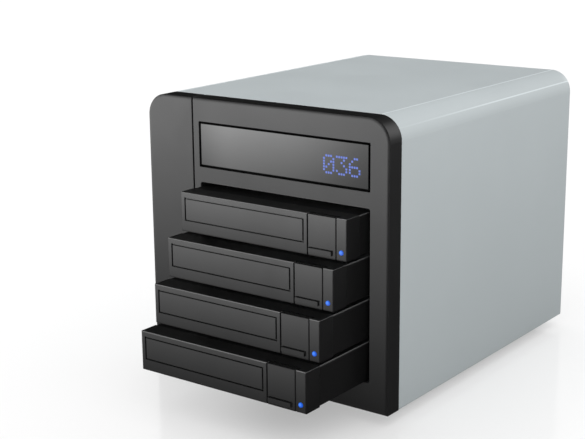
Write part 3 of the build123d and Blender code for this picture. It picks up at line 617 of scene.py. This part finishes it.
# ---------------------------------------------------------------- floor
def floor_material():
    """Pale floor with a weak mirror; the camera also sees a white glow on it, even far from the
    case, with painted light and painted shadow near it.
    """
    graph = new_graph("floor_pale_gloss")
    speck = graph.noise(scale=3.0)
    pale = speck.mix(grey(0.925), grey(0.935))
    diffuse_ray = graph.node("LightPath", output="Is Diffuse Ray")
    diffuse = graph.node("BsdfDiffuse", {"Color": diffuse_ray.mix(pale, grey(0.72))})
    fill = graph.node("Emission", {"Strength": 0.985})
    camera_ray = graph.node("LightPath", output="Is Camera Ray")
    # the fill fades out under the case, where only shadow belongs
    pan_lo, pan_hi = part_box("base_pan")
    under = inside_box(graph, lo=(pan_lo.x + 0.025, pan_lo.y + 0.025, -1.0),
                       hi=(pan_hi.x - 0.025, pan_hi.y - 0.025, 1.0), soft=0.02)
    # painted light: more glow at the front left; painted shadow: less towards the front right,
    # under the trays
    x, y = graph.axis("X"), graph.axis("Y")
    painted_light_left = near_point(x, y, at=(-0.070, -0.165), reach=(0.010, 0.130))
    tray_shade = near_point(x, y, at=(0.038, -0.118), reach=(0.006, 0.068))
    fill_part = 0.51 + (painted_light_left * 0.13 - tray_shade * 0.09)
    share = camera_ray * fill_part * (1.0 - under)
    lit = graph.node("MixShader", {0: share, 1: diffuse, 2: fill})
    mirror = graph.node("BsdfGlossy", {
        "Roughness": speck.ramp(span=(0.3, 0.7), to=(0.10, 0.14)), "Color": grey(1.0)})
    return graph.surface(graph.node("MixShader", {0: 0.085, 1: lit, 2: mirror}))


bm = bmesh.new()
bmesh.ops.create_grid(bm, x_segments=2, y_segments=2, size=FLOOR_SIZE)
floor = add_object("floor", bm, floor_material())
floor.visible_glossy = False


# ---------------------------------------------------------------- surround
def degrees(*angles):
    return [math.radians(angle) for angle in angles]


def surround_material():
    """Light that only mirror-like rays see: white for the floor, soft cards for the object."""
    graph = new_graph("surround_light")
    incoming = graph.node("NewGeometry", output="Incoming")
    ray_length = graph.node("LightPath", output="Ray Length")
    back = graph.node("VectorMath", {0: incoming, "Scale": ray_length}, operation="SCALE")
    # where the ray started, and its direction
    start = graph.node("VectorMath", {0: incoming.sibling("Position"), 1: back}, operation="ADD")
    start_z = start.axis("Z")
    heading = graph.node("VectorMath", {0: incoming, "Scale": -1.0}, operation="SCALE")
    x, y, z = (heading.axis(name) for name in "XYZ")
    # 0 straight out of the front, positive to the right
    azimuth = graph.math("ARCTAN2", x, y * -1.0)

    # broad card low on the front left; its light falls off towards the floor
    left = azimuth.ramp(span=degrees(-100, -60)) * azimuth.ramp(span=degrees(-8, -32))
    low = z.ramp(span=[math.sin(angle) for angle in degrees(-2, 22)], to=(1.0, 0.0))
    falloff = start_z.ramp(span=(0.0, 0.22), to=(0.12, 1.0), smooth=False) ** 1.60
    card = (left * low) * (falloff * 3.86)
    # a weaker one on the front right, so that the front keeps its shape from the left
    right = azimuth.ramp(span=degrees(20, 42)) * azimuth.ramp(span=degrees(48, 72), to=(1.0, 0.0))
    card += (right * low) * (falloff * 1.7)

    # soft light above and behind
    strip_direction = tuple(Vector((0.53, 0.78, 0.33)).normalized())
    facing = graph.node("VectorMath", {0: heading, 1: strip_direction}, "Value",
                        operation="DOT_PRODUCT")
    strip = facing.ramp(span=[math.cos(angle) for angle in degrees(34, 10)], to=(0.0, 0.64))

    # a card behind the case, which only the rear panel and what stands on it mirror
    rear_of = start.axis("Y").ramp(span=(0.166, 0.171))
    rear_of *= abs(start.axis("X")).ramp(span=(0.1050, 0.1070), to=(1.0, 0.0))
    rear_of *= start_z.ramp(span=(0.2120, 0.2170), to=(1.0, 0.0))
    rear_card = y.ramp(span=(-0.3, 0.5)) * z.ramp(span=(-0.5, 0.8), to=(0.15, 0.95))

    total = (card + strip) + rear_of.linear(slope=rear_card, offset=0.02)
    from_floor = start_z.ramp(span=(0.0005, 0.0020), to=(1.0, 0.0))
    level = graph.node("Mix", {0: from_floor, 2: total, 3: 0.99}, data_type="FLOAT")
    material = graph.surface(graph.node("Emission", {"Strength": level}))
    material.cycles.emission_sampling = "NONE"
    return material


bm = bmesh.new()
bmesh.ops.create_uvsphere(bm, u_segments=48, v_segments=24, radius=SURROUND_RADIUS)
for face in bm.faces:
    face.normal_flip()
surround = add_object("surround", bm, surround_material())
for ray in ("camera", "diffuse", "shadow", "transmission", "volume_scatter"):
    setattr(surround, "visible_" + ray, False)

# ---------------------------------------------------------------- world
# plain white to the camera; its light grows from the horizon up
world = bpy.data.worlds.new("studio")
scene.world = world
graph = Graph(world, "OutputWorld")
sky_z = graph.node("TexCoord", output="Generated").axis("Z")
sky_level = sky_z.ramp(span=(0.0, 1.0), to=(0.78, 1.38), smooth=False)
seen = graph.node("Background", {"Color": grey(1.0), "Strength": 1.0})
light = graph.node("Background", {"Color": grey(1.0), "Strength": sky_level})
camera_ray = graph.node("LightPath", output="Is Camera Ray")
graph.surface(graph.node("MixShader", {0: camera_ray, 1: light, 2: seen}))
world.cycles.sampling_method = "NONE"

# ---------------------------------------------------------------- camera
CAMERA_PLACE = Vector((0.56553, BEZEL_FACE_Y - 0.72340, 0.36933))
YAW, PITCH, ROLL = degrees(36.673, 14.3074, 0.5208)

camera_data = bpy.data.cameras.new("camera")
camera_data.sensor_width = 36.0
camera_data.lens = 80.6284677
camera_data.clip_start = 0.05
camera_data.clip_end = 50.0
camera = bpy.data.objects.new("camera", camera_data)
scene.collection.objects.link(camera)
backward = Vector((math.sin(YAW) * math.cos(PITCH), -math.cos(YAW) * math.cos(PITCH),
                   math.sin(PITCH)))
level_right = Vector((math.cos(YAW), math.sin(YAW), 0.0))
level_up = backward.cross(level_right)
right = level_right * math.cos(ROLL) - level_up * math.sin(ROLL)
up = level_right * math.sin(ROLL) + level_up * math.cos(ROLL)
turn = Matrix((right, up, backward)).transposed()
camera.matrix_world = Matrix.Translation(CAMERA_PLACE) @ turn.to_4x4()
scene.camera = camera

# ---------------------------------------------------------------- render settings
scene.view_settings.view_transform = "Standard"
scene.view_settings.look = "None"
scene.view_settings.exposure = 0.0
scene.view_settings.gamma = 1.0
scene.cycles.use_denoising = True
scene.cycles.max_bounces = 8
scene.cycles.diffuse_bounces = 3
scene.cycles.glossy_bounces = 4
scene.cycles.caustics_reflective = False
scene.cycles.caustics_refractive = False
scene.cycles.seed = 7
